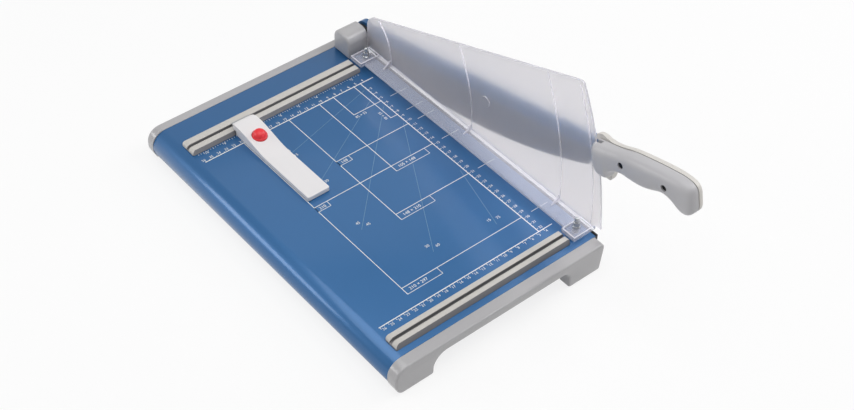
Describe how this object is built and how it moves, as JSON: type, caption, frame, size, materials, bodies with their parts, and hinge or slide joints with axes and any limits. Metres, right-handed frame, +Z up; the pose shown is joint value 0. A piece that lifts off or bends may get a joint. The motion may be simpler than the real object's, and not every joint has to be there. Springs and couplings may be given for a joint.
{
  "type": "guillotine paper cutter",
  "caption": "Desk guillotine paper cutter: blue sheet table with printed grid, clear guard that clamps the paper, curved blade arm with moulded handle, sliding back gauge.",
  "frame": {"origin": "middle of the footprint, on the desk, at the underside of the rubber feet", "axes": "+X across the table towards the blade, +Y away from the user towards the arm's pivot, +Z up"},
  "size_m": [0.308, 0.5554, 0.2206],
  "materials": {
    "blue_paint": "satin",
    "grey_plastic": "fine matte texture",
    "handle_plastic": "satin",
    "white_plastic": "satin",
    "red_plastic": "gloss",
    "clear_plastic": "clear",
    "black_plastic": "matte",
    "rubber": "matte",
    "steel": "plain",
    "blade_steel": "ground",
    "black_steel": "satin",
    "chrome": "polished",
    "zinc": "zinc plated",
    "bronze": "plain"
  },
  "bodies": {
    "bed": {"table_top": "blue_paint", "front_end_cap": "grey_plastic", "rear_end_cap": "grey_plastic", "back_rail": "grey_plastic", "front_rail": "grey_plastic", "pivot_cover": "grey_plastic", "friction_washer": "black_plastic", "rubber_foot_1": "rubber", "rubber_foot_2": "rubber", "rubber_foot_3": "rubber", "rubber_foot_4": "rubber", "angle_bar": "steel", "pivot_pin": "steel", "spring_washer": "steel", "clamp_spring_rear": "steel", "clamp_spring_front": "steel", "lower_blade": "blade_steel", "pivot_block": "black_steel", "clamp_stud_1": "chrome", "clamp_stud_2": "chrome", "clamp_stop_nut_1": "chrome", "clamp_stop_nut_2": "chrome", "end_cap_nut_1": "zinc", "end_cap_nut_2": "zinc", "end_cap_nut_3": "zinc", "end_cap_nut_4": "zinc", "lower_blade_screw_1": "zinc", "lower_blade_screw_2": "zinc", "lower_blade_screw_3": "zinc", "lower_blade_screw_4": "zinc", "rail_screw_1": "zinc", "rail_screw_2": "zinc", "rail_screw_3": "zinc", "rail_screw_4": "zinc", "pivot_block_screw_1": "zinc", "pivot_block_screw_2": "zinc", "pivot_nut": "zinc", "clamp_stud_nut_1": "zinc", "clamp_stud_nut_2": "zinc"},
    "arm": {"blade_arm": "blue_paint", "pivot_bush": "bronze", "upper_blade": "blade_steel", "upper_blade_screw_1": "zinc", "upper_blade_screw_2": "zinc", "upper_blade_screw_3": "zinc", "upper_blade_nut_1": "zinc", "upper_blade_nut_2": "zinc", "upper_blade_nut_3": "zinc", "handle_front_half": "handle_plastic", "handle_rear_half": "handle_plastic", "handle_screw_1": "black_steel", "handle_screw_2": "black_steel"},
    "clamp": {"clamp_guard": "clear_plastic"},
    "gauge": {"gauge_bar": "white_plastic", "gauge_latch_plate": "steel", "gauge_latch_screw": "zinc", "button_spring": "steel"},
    "button": {"gauge_button": "red_plastic"}
  },
  "joints": [
    {"name": "arm_hinge", "type": "hinge", "parent": "bed", "child": "arm", "pos_m": [0.1377, 0.24495, 0.0527], "axis": [1, 0, 0], "range_deg": [-30, 12.6]},
    {"name": "clamp_press", "type": "slide", "parent": "bed", "child": "clamp", "axis": [0, 0, -1], "range_m": [0, 0.005], "stiffness_N_per_m": 600, "springref_m": -0.01, "deforming": ["clamp_spring_rear", "clamp_spring_front"]},
    {"name": "gauge_slide", "type": "slide", "parent": "bed", "child": "gauge", "axis": [1, 0, 0], "range_m": [-0.05, 0.14]},
    {"name": "gauge_button_press", "type": "slide", "parent": "gauge", "child": "button", "axis": [0, 0, -1], "range_m": [0, 0.002], "stiffness_N_per_m": 800, "springref_m": -0.002, "deforming": ["button_spring"]}
  ]
}
